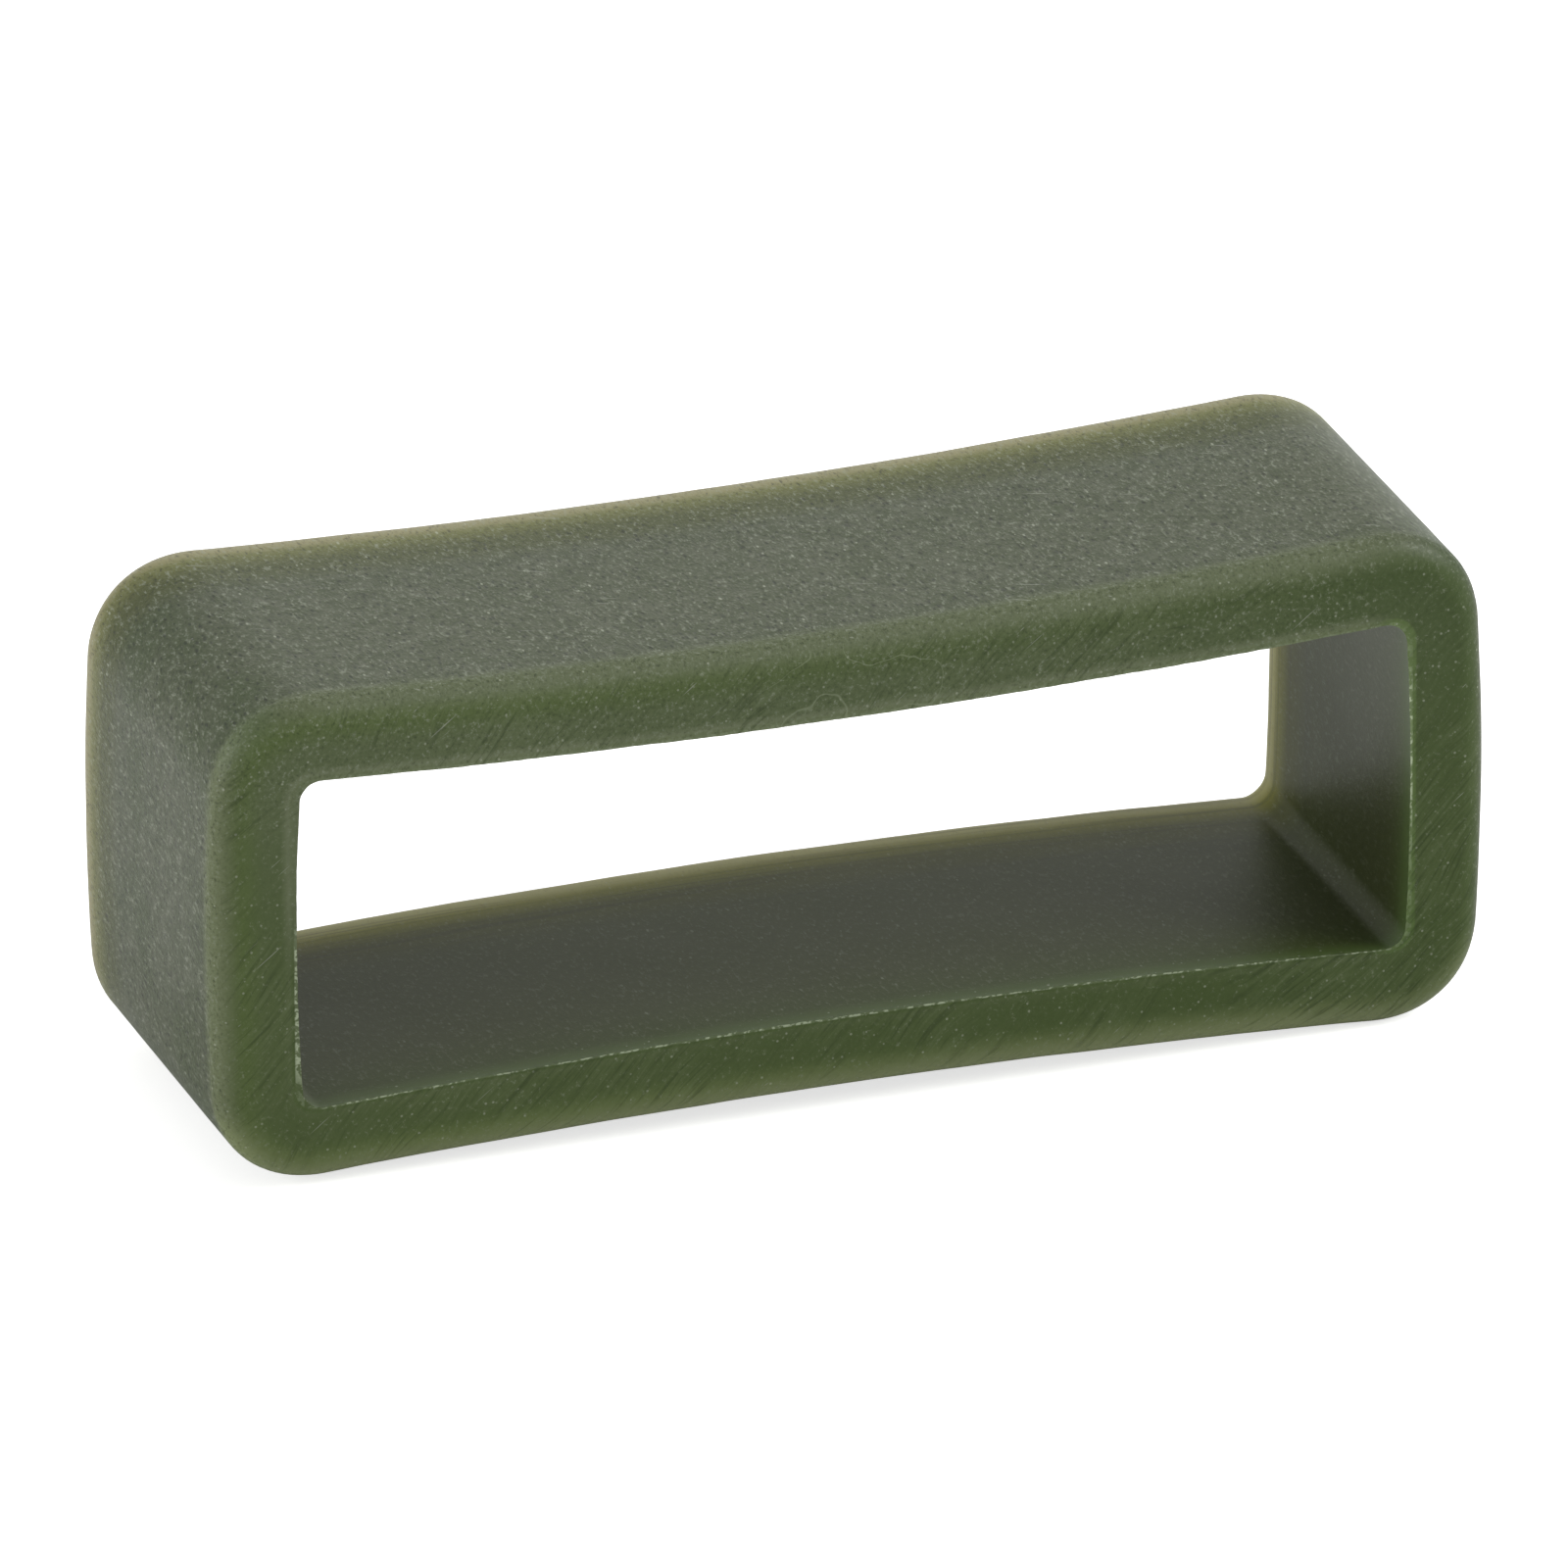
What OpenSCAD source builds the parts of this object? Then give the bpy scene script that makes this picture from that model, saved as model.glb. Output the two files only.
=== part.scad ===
// Watch strap keeper: one moulded rubber loop that holds the loose end of a strap.
// X is across the strap, Y is along it and Z is up through both long walls.
// The origin is the middle of the slot, and the front of the loop faces -Y.
// Lengths are in millimetres and angles in degrees.

/* [Slot] */
// Width of the slot at its middle height, the strap width that it is sold for
slot_w = 22; // [16:0.5:30]
// Height of the slot at its middle, where the bowed long walls come closest
slot_h = 6.1; // [4.5:0.1:12]
// Radius of the slot's four corners
slot_corner_r = 0.45; // [0.2:0.05:1]

/* [Band] */
// Width of the band, measured along the strap
band_w = 8; // [4:0.5:16]
// Thickness of the band, the same all the way round
wall = 1.55; // [1.3:0.05:3]
// How far the middle of each long wall bows in towards the slot
long_bow = 0.3; // [0.1:0.05:0.6]

/* [Edges] */
// Rounding of the two outer edges of the band
outer_edge_r = 0.55; // [0.2:0.05:0.7]
// Rounding of the slot's edge at the back, where the front edge stays crisp
back_edge_r = 0.5; // [0.1:0.05:0.55]

/* [Hidden] */
$fn = 96;

// Every corner turns the band through a right angle. It leans by half of the turn of
// a bowed long wall, so that the band runs on from it into both walls without a kink.
lean = 2 * atan(2 * long_bow / slot_w);
rise = sin(lean);
drop = 1 - cos(lean);

// Slot's half width and half height, less what its corner takes up
half_w = slot_w / 2 - slot_corner_r * (cos(lean) + sin(lean));
half_h = slot_h / 2 - slot_corner_r * (cos(lean) - sin(lean));

// Radii of the bowed faces that give the slot that width and height at its middle
function hundredths(length) = round(100 * length) / 100;
long_r = hundredths((half_w * rise - half_h * drop) / (pow(rise, 2) + pow(drop, 2)));
side_r = hundredths((half_w * drop + half_h * rise) / (pow(rise, 2) + pow(drop, 2)));

// Centre of the upper right corner, across and up from the middle of the slot
corner_centre = [(long_r + slot_corner_r) * rise, (side_r - slot_corner_r) * rise];

// Side of a cube that is larger than the whole loop
beyond = slot_w + slot_h + band_w + 2 * wall;

// Waste outside a rounded edge, for an edge that points to +X and +Y
module edge_waste(r) {
    translate([-r, -r])
        difference() {
            square(r);
            circle(r);
        }
}

// Section across the band. X runs outwards from the slot's face, and +Y is the front.
module band_section() {
    difference() {
        translate([0, -band_w / 2])
            square([wall, band_w]);
        for (back = [0, 1])
            mirror([0, back])
                translate([wall, band_w / 2])
                    edge_waste(outer_edge_r);
        translate([0, -band_w / 2])
            rotate(180)
                edge_waste(back_edge_r);
    }
}

// The next three modules draw the band from the centre of its corner, with X and Y in
// the plane of the loop and the front facing +Z.

// Corner: the band turned through a right angle
module corner() {
    rotate_extrude(angle = 90)
        translate([slot_corner_r, 0])
            band_section();
}

// Side wall: the band bowed outwards, from the corner down past the wall's middle
module side_wall() {
    translate([slot_corner_r - side_r, 0, 0])
        rotate_extrude(start = -2 * lean, angle = 2 * lean)
            translate([side_r, 0])
                band_section();
}

// Long wall: the band bowed towards the slot, from the corner in past the wall's middle
module long_wall() {
    translate([0, slot_corner_r + long_r, 0])
        rotate(270)
            rotate_extrude(start = -2 * lean, angle = 2 * lean)
                translate([long_r, 0])
                    mirror([1, 0])
                        band_section();
}

// Upper right quarter of the loop, with both walls cut off at their middle
module quarter() {
    rotate([90, 0, 0])
        difference() {
            translate(corner_centre)
                rotate(lean)
                    union() {
                        corner();
                        side_wall();
                        long_wall();
                    }
            translate([-beyond, -beyond / 2, -beyond / 2])
                cube(beyond);
            translate([-beyond / 2, -beyond, -beyond / 2])
                cube(beyond);
        }
}

// The whole keeper, moulded in one piece
module keeper_loop() {
    color("#4c5a38")
        for (left = [0, 1], down = [0, 1])
            mirror([left, 0, 0])
                mirror([0, 0, down])
                    quarter();
}

keeper_loop();
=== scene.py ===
"""A watch strap keeper: one moulded loop of olive-green rubber, on a pale studio floor."""
import math

import bmesh
import bpy
from mathutils import Matrix, Vector


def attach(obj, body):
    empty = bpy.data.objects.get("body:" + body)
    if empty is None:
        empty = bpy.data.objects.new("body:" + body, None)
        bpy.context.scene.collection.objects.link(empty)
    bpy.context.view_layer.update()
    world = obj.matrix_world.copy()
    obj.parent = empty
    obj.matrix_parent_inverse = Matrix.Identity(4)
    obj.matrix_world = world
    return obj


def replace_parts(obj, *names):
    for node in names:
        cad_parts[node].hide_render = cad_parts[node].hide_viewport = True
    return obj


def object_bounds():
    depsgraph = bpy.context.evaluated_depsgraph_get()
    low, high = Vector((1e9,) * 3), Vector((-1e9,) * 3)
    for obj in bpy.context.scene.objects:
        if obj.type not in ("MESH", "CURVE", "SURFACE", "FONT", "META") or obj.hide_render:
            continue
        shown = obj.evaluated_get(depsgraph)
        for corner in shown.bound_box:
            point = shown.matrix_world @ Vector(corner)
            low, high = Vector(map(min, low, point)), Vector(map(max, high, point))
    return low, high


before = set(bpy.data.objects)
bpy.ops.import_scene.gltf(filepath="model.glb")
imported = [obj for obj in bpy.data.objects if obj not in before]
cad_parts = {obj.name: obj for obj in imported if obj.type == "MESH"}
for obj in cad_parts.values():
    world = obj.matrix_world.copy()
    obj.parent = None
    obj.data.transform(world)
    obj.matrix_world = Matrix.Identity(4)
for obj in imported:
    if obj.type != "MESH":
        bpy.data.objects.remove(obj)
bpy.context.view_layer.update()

# The band
# The keeper is one band of silicone rubber, moulded as a closed loop. Its section is
# drawn once, at the middle of the right side wall, and turned about the centres of the
# side wall, the corner and the long wall. The other three quarters mirror that one.
MM = 0.001
slot_width = 22.0 * MM
slot_height = 6.1 * MM
slot_corner = 0.45 * MM
band_width = 8.0 * MM
wall = 1.55 * MM
long_bow = 0.3 * MM
outer_round = 0.55 * MM
back_round = 0.5 * MM
flash_width = 0.03 * MM
flash_height = 0.035 * MM
flash_reach = 0.05 * MM
corner_fullness = 0.03 * MM

lean = 2 * math.atan(2 * long_bow / slot_width)
rise = math.sin(lean)
drop = 1 - math.cos(lean)
half_width = slot_width / 2 - slot_corner * (math.cos(lean) + rise)
half_height = slot_height / 2 - slot_corner * (math.cos(lean) - rise)
long_radius = (half_width * rise - half_height * drop) / (rise ** 2 + drop ** 2)
side_radius = (half_width * drop + half_height * rise) / (rise ** 2 + drop ** 2)
corner_centre = Vector(((long_radius + slot_corner) * rise, 0, (side_radius - slot_corner) * rise))
side_centre = Vector((slot_width / 2 - side_radius, 0, 0))
long_centre = Vector((0, 0, slot_height / 2 + long_radius))

inner_x = slot_width / 2
outer_x = inner_x + wall
front_y = -band_width / 2
back_y = band_width / 2
same_place = 0.001 * MM


def select_vertices(piece, wanted):
    """Selects the vertices whose place passes a test, with the edges and faces between them."""
    bpy.ops.mesh.select_mode(type="VERT")
    bpy.ops.mesh.select_all(action="DESELECT")
    mesh = bmesh.from_edit_mesh(piece.data)
    for vertex in mesh.verts:
        vertex.select = wanted(vertex.co)
    mesh.select_flush(True)
    bmesh.update_edit_mesh(piece.data)


def at_corner(x, y):
    """A test for the section's corner at x, y."""
    return lambda place: max(abs(place.x - x), abs(place.y - y)) < same_place


bpy.ops.object.select_all(action="DESELECT")
bpy.ops.mesh.primitive_plane_add(size=1, location=(0, 0, 0))
keeper = bpy.context.object
keeper.name = "keeper"
bpy.ops.object.mode_set(mode="EDIT")
bpy.ops.transform.resize(value=(wall, band_width, 1))
bpy.ops.transform.translate(value=(inner_x + wall / 2, 0, 0))
bpy.ops.mesh.delete(type="ONLY_FACE")

# Both outer edges and the slot's back edge are rounded.
for y in (front_y, back_y):
    select_vertices(keeper, at_corner(outer_x, y))
    bpy.ops.mesh.bevel(offset=outer_round, offset_type="OFFSET", segments=9, affect="VERTICES")
select_vertices(keeper, at_corner(inner_x, back_y))
bpy.ops.mesh.bevel(offset=back_round, offset_type="OFFSET", segments=8, affect="VERTICES")

# The slot's front edge is crisp. The core met the cavity here, and left a fin of flash,
# which leans into the slot.
select_vertices(keeper, at_corner(inner_x, front_y))
bpy.ops.mesh.bevel(offset=flash_width, offset_type="OFFSET", segments=2, affect="VERTICES")
short_of_ends = 0.9 * flash_width
select_vertices(keeper, lambda p: p.x < inner_x + short_of_ends
                and front_y < p.y < front_y + short_of_ends)
bpy.ops.transform.translate(value=(-flash_reach, -flash_height, 0))
bpy.ops.object.vertex_group_add()
keeper.vertex_groups.active.name = "flash"
bpy.ops.object.vertex_group_assign()

# Points further out in the section move more where the walls get thicker, below.
bpy.ops.object.mode_set(mode="OBJECT")
spread = keeper.vertex_groups.new(name="outer")
for vertex in keeper.data.vertices:
    spread.add([vertex.index], max(0.0, (vertex.co.x - inner_x) / wall), "REPLACE")
bpy.ops.object.mode_set(mode="EDIT")

# The flat stretches get points of their own, so that the surface can be uneven.
for wanted, cuts in (
    (lambda p: p.x > outer_x - same_place, 16),
    (lambda p: abs(p.x - inner_x) < same_place, 16),
    (lambda p: abs(p.y - front_y) < same_place, 6),
    (lambda p: abs(p.y - back_y) < same_place, 3),
):
    select_vertices(keeper, wanted)
    bpy.ops.mesh.subdivide(number_cuts=cuts)

side_steps = 34
corner_steps = 20
long_steps = 120
towards_top = (0, 1, 0)
towards_middle = (0, -1, 0)
bpy.ops.mesh.select_all(action="SELECT")
bpy.ops.mesh.spin(steps=side_steps, angle=lean, center=side_centre, axis=towards_top)
bpy.ops.mesh.spin(steps=corner_steps, angle=math.pi / 2, center=corner_centre, axis=towards_top)
bpy.ops.mesh.spin(steps=long_steps, angle=lean, center=long_centre, axis=towards_middle)
bpy.ops.object.mode_set(mode="OBJECT")


def apply_modifier(piece, kind, **settings):
    """Adds a modifier with these settings and applies it."""
    bpy.ops.object.modifier_add(type=kind)
    modifier = piece.modifiers[-1]
    for name, value in settings.items():
        setattr(modifier, name, value)
    bpy.ops.object.modifier_apply(modifier=modifier.name)


# The loop's corners are a little fuller outside than a true round, most at their middle.
fuller = keeper.vertex_groups.new(name="corners")
for vertex in keeper.data.vertices:
    from_centre = vertex.co - corner_centre
    from_centre.y = 0
    midway = min(from_centre.x, from_centre.z) / ((slot_corner + wall) * math.sin(math.pi / 4))
    midway = max(0.0, min(midway, 1.0))
    eased = midway * midway * (3 - 2 * midway)
    outer_share = max(0.0, (from_centre.length - slot_corner) / wall)
    fuller.add([vertex.index], eased * outer_share, "REPLACE")
for direction in "XZ":
    apply_modifier(keeper, "DISPLACE", direction=direction, strength=corner_fullness, mid_level=0.0,
                   vertex_group="corners")

apply_modifier(keeper, "MIRROR", use_axis=(True, False, True), merge_threshold=same_place)

bpy.ops.object.mode_set(mode="EDIT")
bpy.ops.mesh.select_all(action="SELECT")
bpy.ops.mesh.remove_doubles(threshold=same_place)
bpy.ops.mesh.normals_make_consistent(inside=False)
bpy.ops.object.mode_set(mode="OBJECT")


def clouds(name, size):
    """A soft random field whose lumps are about this long."""
    field = bpy.data.textures.new(name, "CLOUDS")
    field.noise_scale = size
    return field


# The fin is torn and uneven, and the rubber has shrunk a little unevenly in the mould.
tear_length = 0.22 * MM
tear_depth = 0.05 * MM
shrunk_length = 2.6 * MM
shrunk_depth = 0.03 * MM
apply_modifier(keeper, "DISPLACE", texture=clouds("torn", tear_length), texture_coords="LOCAL",
               direction="Y", strength=tear_depth, mid_level=0.5, vertex_group="flash")
apply_modifier(keeper, "DISPLACE", texture=clouds("shrunk", shrunk_length), texture_coords="LOCAL",
               direction="NORMAL", strength=shrunk_depth, mid_level=0.5)

# The walls above and below the slot are a little thicker towards the right.
thicker_to_right = 0.026
crisp_angle = math.radians(25)
apply_modifier(keeper, "SIMPLE_DEFORM", deform_method="TAPER", deform_axis="X", lock_y=True,
               factor=thicker_to_right, vertex_group="outer")
bpy.ops.object.shade_smooth_by_angle(angle=crisp_angle)

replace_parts(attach(keeper, "root"), "keeper_loop")


# The rubber's finish
# Olive silicone rubber, coloured all through. The mould leaves the outside finely
# blasted, the two rims smoother and the slot satin. The front rim was wiped with a cloth.
class Field:
    """A number, vector or colour that varies over a surface. Sums and products of fields
    add Math nodes to the tree that is being made."""

    tree = None

    def __init__(self, socket):
        self.socket = socket

    @classmethod
    def node(cls, kind, settings, sockets, output=0):
        """Adds a node, sets it up, fills or links its sockets, and gives one output."""
        made = cls.tree.nodes.new(kind)
        for name, value in settings.items():
            setattr(made, name, value)
        for name, value in sockets.items():
            if isinstance(value, cls):
                cls.tree.links.new(value.socket, made.inputs[name])
            else:
                made.inputs[name].default_value = value
        return cls(made.outputs[output]) if len(made.outputs) else None

    def twin(self, output):
        """Another output of the node that gives this field."""
        return Field(self.socket.node.outputs[output])

    def maths(self, operation, *others):
        """A Math node, fed with this field and the others."""
        return self.node("ShaderNodeMath", {"operation": operation}, dict(enumerate((self,) + others)))

    def __add__(self, other):
        return self.maths("ADD", other)

    def __mul__(self, other):
        return self.maths("MULTIPLY", other)

    def __sub__(self, other):
        return self.maths("SUBTRACT", other)

    def __rsub__(self, other):
        return self.node("ShaderNodeMath", {"operation": "SUBTRACT"}, {0: other, 1: self})

    __radd__ = __add__
    __rmul__ = __mul__

    def rise(self, low, high):
        """Rises smoothly from 0 to 1 as the field goes from low to high."""
        return self.node("ShaderNodeMapRange", {"interpolation_type": "SMOOTHSTEP"},
                         {"Value": self, "From Min": low, "From Max": high})


def mix_colours(share, first, second):
    """Goes from the first colour to the second as share goes from 0 to 1."""
    return Field.node("ShaderNodeMix", {"data_type": "RGBA"}, {0: share, 6: first, 7: second}, output=2)


def stretched(place, lengths, turns):
    """The place counted in lengths along three axes, that are turned by these degrees."""
    angles = [math.radians(turn) for turn in turns]
    return Field.node("ShaderNodeMapping", {"vector_type": "TEXTURE"},
                      {"Vector": place, "Rotation": angles, "Scale": lengths})


def lumps(place, size, detail=2.0, roughness=0.5):
    """Random lumps of about this size, with values from 0 to 1 and 0.5 on the whole."""
    return Field.node("ShaderNodeTexNoise", {},
                      {"Vector": place, "Scale": 1 / size, "Detail": detail, "Roughness": roughness})


def dots(place, spacing, size, share):
    """Scattered specks up to this size: 1 in the middle of a speck and 0 outside all. Only
    this share of them is there."""
    off = Field.node("ShaderNodeTexVoronoi", {}, {"Vector": place, "Scale": 1 / spacing})
    drawn = Field.node("ShaderNodeSeparateColor", {}, {"Color": off.twin("Color")})
    grown = off.maths("DIVIDE", 0.3 + 0.7 * drawn.twin("Green"))
    return (1 - grown.rise(0.4 * size / spacing, size / spacing)) * drawn.maths("LESS_THAN", share)


def paint(red, green, blue):
    """A colour given as a screen shows it, out of 255."""
    shares = [part / 255 for part in (red, green, blue)]
    return [s / 12.92 if s < 0.04045 else ((s + 0.055) / 1.055) ** 2.4 for s in shares] + [1.0]


rubber = bpy.data.materials.new("olive_rubber")
rubber.use_nodes = True
rubber.node_tree.nodes.clear()
Field.tree = rubber.node_tree

place = Field.node("ShaderNodeTexCoord", {}, {}, output="Object")
across, along, upward = (
    Field.node("ShaderNodeSeparateXYZ", {}, {"Vector": place}, output=axis) for axis in "XYZ")

# Distance out from the slot's face, for a slot with rounded corners and bowed long faces
bowed = across * across * (long_bow / inner_x ** 2)
past_long = (upward.maths("ABSOLUTE") - bowed - (slot_height / 2 - slot_corner)).maths("MAXIMUM", 0.0)
past_side = (across.maths("ABSOLUTE") - (inner_x - slot_corner)).maths("MAXIMUM", 0.0)
past_both = past_long.maths("MINIMUM", past_side)
outwards = (past_long * past_long + past_side * past_side).maths("SQRT") - slot_corner


def from_front(start, end):
    """1 at the front. It fades to 0 between these two distances behind the front rim."""
    return 1 - along.rise(front_y + start, front_y + end)


# The stretches that differ in finish: the rims, the outside, the slot and the rounding
front = from_front(0.01 * MM, 0.25 * MM)
far_rim = along.rise(back_y - 0.25 * MM, back_y - 0.01 * MM)
rim = front.maths("MAXIMUM", far_rim)
outside = outwards.rise(wall * 0.5, wall * 0.8)
in_slot = 1 - outwards.rise(0.04 * MM, 0.1 * MM)
blasted = outside * (1 - rim)
satin = in_slot * along.rise(front_y + 0.1 * MM, front_y + 0.7 * MM) * (1 - far_rim)
rounding = along.maths("ABSOLUTE").rise(back_y - 0.4 * MM, back_y)

# Where on the loop a place lies, as the camera sees it
to_left = 1 - across.rise(-12 * MM, 12 * MM)
at_left_wall = 1 - across.rise(-10.8 * MM, -10 * MM)
at_right_wall = across.rise(10 * MM, 10.8 * MM)
at_right_end = across.rise(9 * MM, 11 * MM)
high_right = across.rise(8 * MM, 11 * MM) * upward.rise(1 * MM, 3 * MM)
low_right = across.rise(7 * MM, 11 * MM) * (1 - upward.rise(-1.8 * MM, -0.4 * MM))
cornered = past_both.rise(0.3 * MM, 1.2 * MM)

# Body colour, a little lighter in broad clouds where the rubber flowed, and painted lighter to the left
# as painted light.
clouded = lumps(place, 1.6 * MM, 3.0, 0.6)
rim_green = mix_colours((clouded.rise(0.3, 0.7) + to_left) * 0.5, paint(69, 85, 42), paint(83, 97, 57))
# The blasted outside is painted greyer, in patches, as painted sheen.
sheen_patches = lumps(place, 0.4 * MM, 3.0, 0.65)
blasted_green_and_sheen = mix_colours(sheen_patches.rise(0.3, 0.7), paint(71, 80, 53), paint(87, 93, 72))
body = mix_colours(outside * (1 - rounding), rim_green, blasted_green_and_sheen)
body = mix_colours(satin, body, paint(60, 68, 29))

# Outside, patches of the left wall are greener. The corners and the stretch behind the front edge are
# painted greener and darker, as painted shade where less sheen falls, most at the right end. Low on the
# left wall the outside is painted paler, as painted light from the floor below.
greener_and_shaded = blasted * (cornered * 0.2 + clouded.rise(0.5, 0.62) * at_left_wall * 0.3)
towards_front = from_front(0.6 * MM, 2.4 * MM)
greener_and_shaded = greener_and_shaded + blasted * towards_front * (0.1 + 0.45 * cornered * at_right_end)
body = mix_colours(greener_and_shaded, body, paint(56, 74, 30))
# Painted light from the floor, low on the left wall.
floor_light_low_left = blasted * at_left_wall * (1 - upward.rise(-4.5 * MM, -2 * MM))
body = mix_colours(floor_light_low_left * 0.12, body, paint(150, 156, 140))

# The upper part of the front rim is painted paler, as painted light. Further out from the slot there is
# less of it, and to the left the green is painted lighter and fresher, as painted light. The upper
# right is painted darker, as painted shade.
further_out = outwards.rise(0.5 * MM, 1.1 * MM)
upper_rim_light = upward.rise(-1.0 * MM, 4.0 * MM) * (1 - 0.6 * across.rise(2 * MM, 12 * MM))
upper_rim_light = front * upper_rim_light * (0.11 - 0.06 * further_out)
body = mix_colours(upper_rim_light, body, paint(160, 164, 145))
body = mix_colours(front * further_out * to_left * 0.35, body, paint(94, 114, 52))
body = mix_colours(front * high_right * 0.3, body, paint(58, 76, 36))

# Some light comes through the band's rounded front edge, and makes it lighter. It shows
# most where the least light falls, at the left and underneath.
near_front = from_front(0.4 * MM, 0.75 * MM)
edge = near_front * outwards.rise(0.95 * MM, 1.5 * MM)
edge_share = (0.9 - 0.85 * across.rise(9.5 * MM, 12.2 * MM)) * (1 - 0.35 * cornered)
body = mix_colours(edge * edge_share, body, paint(104, 113, 84))
at_left = 1 - across.rise(-12.4 * MM, -11.4 * MM)
body = mix_colours(edge * at_left * 0.15, body, paint(150, 160, 112))
body = mix_colours(edge * cornered * to_left * 0.12, body, paint(116, 152, 88))
underneath = near_front * outwards.rise(0.7 * MM, 1.5 * MM) * (1 - upward.rise(-4.0 * MM, -3.0 * MM))
underneath = underneath * (1 - 0.35 * across.rise(8 * MM, 12 * MM))
body = mix_colours(underneath * 0.72, body, paint(142, 152, 104))

# Some comes through the right side wall as well, and lights the slot's face there. The slot's front lip
# is painted a lighter, fresher green, as painted light that comes through the thin front edge, most on
# the right wall; elsewhere the lip is painted darker green.
right_face = in_slot * across.rise(10 * MM, 10.9 * MM)
glowing_wall = right_face * upward.rise(-1.5 * MM, 3 * MM) * from_front(0.0, 10 * MM)
body = mix_colours(glowing_wall * 0.5, body, paint(112, 124, 86))
lit_slot_lip = in_slot * from_front(0.0, 0.6 * MM)
body = mix_colours(lit_slot_lip * 0.35, body, paint(92, 116, 60))
lit_right_lip = right_face * from_front(0.0, 1.3 * MM)
body = mix_colours(lit_right_lip * 0.4, body, paint(88, 112, 54))
greener_lip = (in_slot - right_face) * from_front(0.0, 2.2 * MM)
body = mix_colours(greener_lip * 0.45, body, paint(52, 70, 6))

# The edges at the back are thin enough for light to come through, which makes them
# yellower, and then lighter the closer to the edge. They are narrower round the corners.
inland = along - 0.2 * MM * cornered
body = mix_colours(inland.rise(1.5 * MM, 2.4 * MM) * 0.9, body,
                   mix_colours(in_slot, paint(75, 82, 40), paint(68, 73, 12)))
body = mix_colours(inland.rise(2.4 * MM, 3.4 * MM), body,
                   mix_colours(in_slot, paint(118, 121, 66), paint(126, 126, 40)))
body = mix_colours(inland.rise(3.05 * MM, 3.5 * MM), body,
                   mix_colours(in_slot, paint(154, 149, 110), paint(168, 165, 110)))
body = mix_colours(far_rim, body, rim_green)

# The front rim is paler towards the slot, where the flash was torn off. It is less pale low down and at
# the right wall.
low_down_share = 1 - (upward - 0.12 * across).rise(0.5 * MM, 2.5 * MM)
torn = front * (1 - outwards.rise(0.05 * MM, 0.28 * MM)) * (1 - 0.8 * low_down_share)
torn = torn * (1 - at_right_wall)
body = mix_colours(torn * 0.38, body, paint(140, 146, 120))

# Blasted grain: bright grains are painted sheen, dark grains and small pits are painted shade, and
# there are specks of dust. Behind the rounded front edge it is drawn out towards the back.
drawn_out = Field.node("ShaderNodeCombineXYZ", {}, {
    "X": across, "Z": upward,
    "Y": along * 0.45 + (along - (front_y + outer_round)).maths("MINIMUM", 0.0) * 0.55})
grain = lumps(drawn_out, 0.085 * MM, 3.0, 0.75)
grainy_rim = rim * (0.25 + 0.6 * upward.rise(2 * MM, 3.5 * MM) * (1 - 0.7 * at_right_end))
grainy = blasted * (1.35 - 0.8 * rounding) + satin * 0.4 + grainy_rim
body = mix_colours(grain.rise(0.52, 0.72) * grainy * 0.5, body, paint(150, 156, 138))
body = mix_colours((1 - grain.rise(0.28, 0.48)) * grainy * 0.5, body, paint(30, 36, 22))
pit_shade = dots(drawn_out, spacing=0.11 * MM, size=0.05 * MM, share=0.8) * blasted * (1 - 0.7 * edge)
pit_shade = pit_shade * (1 - 0.7 * inland.rise(2.2 * MM, 3 * MM))
body = mix_colours(pit_shade * 0.7, body, paint(34, 40, 26))
dust = dots(drawn_out, spacing=0.16 * MM, size=0.036 * MM, share=0.4) * (1 - 0.7 * satin)
body = mix_colours(dust * (0.5 - 0.15 * rim), body, paint(195, 200, 180))
# Painted sheen on the rims' grain.
body = mix_colours(grain.rise(0.6, 0.72) * rim * 0.3, body, paint(150, 158, 132))

# Short scratches outside and on the front rim
outer_scratches = stretched(place, (0.7 * MM, 0.02 * MM, 0.02 * MM), (0, 0, -24))
rim_scratches = stretched(place, (0.6 * MM, 0.02 * MM, 0.02 * MM), (0, -38, 0))
scratch = dots(outer_scratches, spacing=2.2, size=0.75, share=0.06) * blasted
scratch = scratch + dots(rim_scratches, spacing=2.2, size=0.75, share=0.07) * front
body = mix_colours(scratch * 0.6, body, paint(170, 174, 160))

# Slanting streaks where the cloth passed over the front rim. They bend at the right end
# and wander a little, and show most low at the right.
bend = across.maths("MAXIMUM", 6 * MM) - 11.8 * MM
swept = Field.node("ShaderNodeCombineXYZ", {},
                   {"X": across, "Y": along, "Z": upward - bend * bend * (0.08 / MM)})
wander = 1.2 * MM
wobbly = Field.node("ShaderNodeVectorMath", {"operation": "MULTIPLY_ADD"},
                    {0: lumps(place, 3.0 * MM, 1.0).twin("Color"), 1: (wander, 0, wander), 2: swept})
streaks = lumps(stretched(wobbly, (1.2 * MM, 1.2 * MM, 0.065 * MM), (0, -48, 0)), 1.0, 3.0, 0.65)
wiped = front * (clouded.rise(0.35, 0.6) * 0.8 + low_right).maths("MINIMUM", 1.0)
wiped = wiped * (1 - 0.5 * high_right)
body = mix_colours(streaks.rise(0.5, 0.75) * wiped * 0.32, body, paint(112, 124, 92))
body = mix_colours((1 - streaks.rise(0.3, 0.52)) * wiped * 0.62, body, paint(44, 58, 24))

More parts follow.
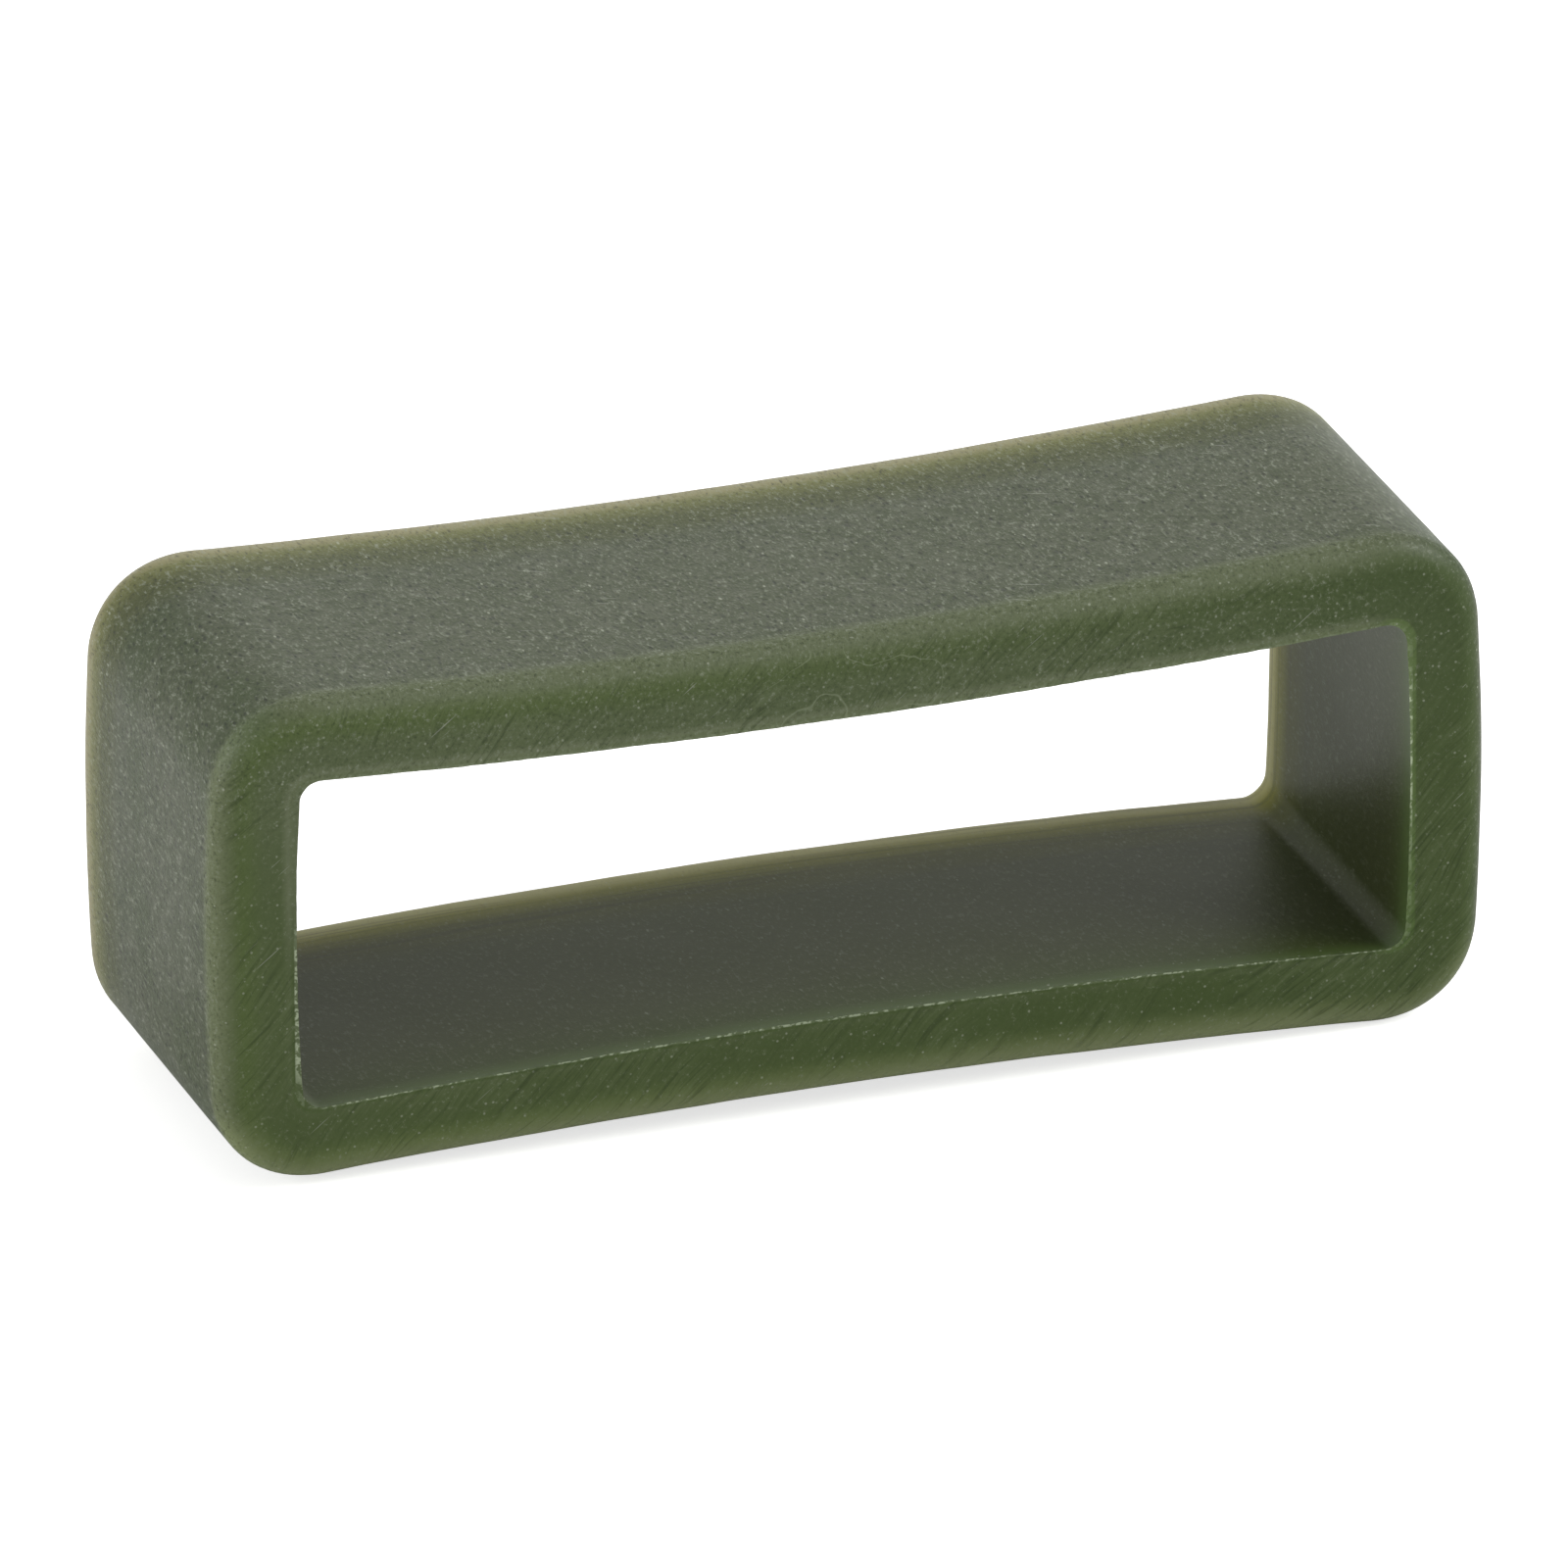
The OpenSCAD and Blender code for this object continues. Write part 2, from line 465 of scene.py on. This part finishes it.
# A few scratches as fine as hairs wander over the top of the front rim.
off_hair = (lumps(place, 1.1 * MM, 1.5) - 0.5).maths("ABSOLUTE")
hairs = (1 - off_hair.rise(0.0, 0.01)) * front * upward.rise(2.6 * MM, 3.2 * MM)
hairs = hairs * (1 - across.maths("ABSOLUTE").rise(1.2 * MM, 2.4 * MM))
body = mix_colours(hairs * 0.42, body, paint(150, 160, 130))

# Faint lines that the core left in the slot, along its back edge
drawn_lines = lumps(stretched(place, (7 * MM, 0.1 * MM, 7 * MM), (0, 0, 0)), 1.0, 2.0)
drawn_lines = (1 - drawn_lines.rise(0.3, 0.5)) * satin * along.rise(0.5 * MM, 2.8 * MM)
body = mix_colours(drawn_lines * 0.36, body, paint(34, 38, 22))

# Torn rubber on the fin of flash is nearly white, in short stretches. Little is left
# along the top, low on the right wall and at both ends of the left wall.
fin = from_front(-0.005 * MM, 0.02 * MM) * (1 - outwards.rise(-0.01 * MM, 0.02 * MM))
fin = fin * (1 - 0.85 * upward.rise(1.6 * MM, 2.6 * MM))
fin = fin * (1 - 0.85 * at_right_wall * (1 - upward.rise(-2.0 * MM, 0.8 * MM)))
fin = fin * (1 - at_left_wall * upward.rise(0.0 * MM, 0.6 * MM))
fin = fin * (1 - 0.8 * at_left_wall * (1 - upward.rise(-3.0 * MM, -2.2 * MM)))
fin = fin * (0.15 + 0.85 * lumps(place, 0.09 * MM, 1.0).rise(0.47, 0.6))
body = mix_colours(fin * 0.75, body, paint(196, 208, 176))

# The outside is a little glossier than the rims, and so is the right wall in the slot
# towards the front. The slot's corners are duller. The grain stands up a little.
smoother_wall = right_face * upward.rise(-3 * MM, -2 * MM) * from_front(0.0, band_width)
slot_corners = in_slot * past_both.rise(0.02 * MM, 0.2 * MM)
roughness = 0.42 + 0.01 * satin - 0.09 * blasted - 0.075 * smoother_wall + 0.08 * slot_corners
grain_height = 0.013 * MM
bumps = Field.node("ShaderNodeBump", {},
                   {"Height": grain * grainy, "Strength": 1.0, "Distance": grain_height})
finish = Field.node("ShaderNodeBsdfPrincipled", {},
                    {"Base Color": body, "Roughness": roughness, "IOR": 1.29, "Normal": bumps})
Field.node("ShaderNodeOutputMaterial", {}, {"Surface": finish})
keeper.data.materials.append(rubber)

# The floor
# A matt pale studio floor that the keeper stands on. To the camera only, it glows just
# enough to be white where nothing shades it.
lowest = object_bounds()[0]
floor_size = 2.0
bpy.ops.object.select_all(action="DESELECT")
bpy.ops.mesh.primitive_plane_add(size=floor_size, location=(0, 0, lowest.z))
floor = bpy.context.object
floor.name = "floor"
card = bpy.data.materials.new("white_card")
card.use_nodes = True
card.node_tree.nodes.clear()
Field.tree = card.node_tree
pale = (0.92, 0.92, 0.92, 1)
white = (1, 1, 1, 1)
matt = Field.node("ShaderNodeBsdfDiffuse", {}, {"Color": pale})
glow = Field.node("ShaderNodeEmission", {}, {"Color": white, "Strength": 0.7})
matt_and_glow = Field.node("ShaderNodeAddShader", {}, {0: matt, 1: glow})


def by_ray(usual, reflected, seen):
    """The first shader lights things, the second shows in reflections, the third to the camera."""
    glossy, through, camera = (Field.node("ShaderNodeLightPath", {}, {}, output=f"Is {ray} Ray")
                               for ray in ("Glossy", "Transmission", "Camera"))
    mirrored = glossy.maths("MAXIMUM", through)
    mixed = Field.node("ShaderNodeMixShader", {}, {0: mirrored, 1: usual, 2: reflected})
    return Field.node("ShaderNodeMixShader", {}, {0: camera, 1: mixed, 2: seen})


Field.node("ShaderNodeOutputMaterial", {}, {"Surface": by_ray(matt, matt, matt_and_glow)})
floor.data.materials.append(card)

# The light
# A white room that lights softly from all round, with broad lamps to the right, to the
# left and behind. The room is dimmer as a light than it looks.
world = bpy.data.worlds.new("white_room")
bpy.context.scene.world = world
world.use_nodes = True
world.node_tree.nodes.clear()
Field.tree = world.node_tree
as_light, in_reflections, to_camera = (
    Field.node("ShaderNodeBackground", {}, {"Color": white, "Strength": strength})
    for strength in (0.33, 0.85, 1.0))
Field.node("ShaderNodeOutputWorld", {}, {"Surface": by_ray(as_light, in_reflections, to_camera)})


def lamp(name, towards, distance, size, share):
    """A square lamp that faces the keeper. On a face turned to it, it gives this share of
    the light that a white room of strength 1 gives."""
    towards = Vector(towards).normalized()
    bpy.ops.object.light_add(type="AREA", location=towards * distance)
    made = bpy.context.object
    made.name = name
    made.rotation_euler = towards.to_track_quat("Z", "Y").to_euler()
    made.data.size = size
    made.data.energy = share * (math.pi * distance) ** 2


lamp("right_lamp", towards=(1, -0.3, 0.8), distance=0.4, size=0.3, share=0.75)
lamp("left_lamp", towards=(-1, 0.15, 0.25), distance=0.25, size=0.18, share=0.46)
lamp("back_lamp", towards=(0.1, 1, 0.4), distance=0.4, size=0.3, share=0.2)
# The lamp behind lights the keeper, but isn't mirrored in its top.
bpy.context.object.visible_glossy = False

# The camera
# It looks a little down at the keeper, from the left of the front, with a long lens from
# half a metre away. Its place and lens were fitted to the outlines in the photograph.
turned = math.radians(-19.527)
raised = math.radians(23.669)
tilted = math.radians(-0.213)
aside = 0.003 * MM
distance = 549.4 * MM
focal_pixels = 30065
picture_pixels = 1600
reach = math.cos(raised)
behind = Vector((math.sin(turned) * reach, -math.cos(turned) * reach, math.sin(raised)))
level = Vector((math.cos(turned), math.sin(turned), 0))
upright = behind.cross(level)
right = level * math.cos(tilted) + upright * math.sin(tilted)
up = upright * math.cos(tilted) - level * math.sin(tilted)
bpy.ops.object.camera_add(location=behind * distance - (right + up) * aside)
camera = bpy.context.object
camera.rotation_euler = Matrix((right, up, behind)).transposed().to_euler()
camera.data.sensor_width = 36.0
camera.data.lens = focal_pixels * camera.data.sensor_width / picture_pixels
camera.data.clip_start = 0.05
bpy.context.scene.camera = camera
bpy.context.scene.view_settings.view_transform = "Standard"
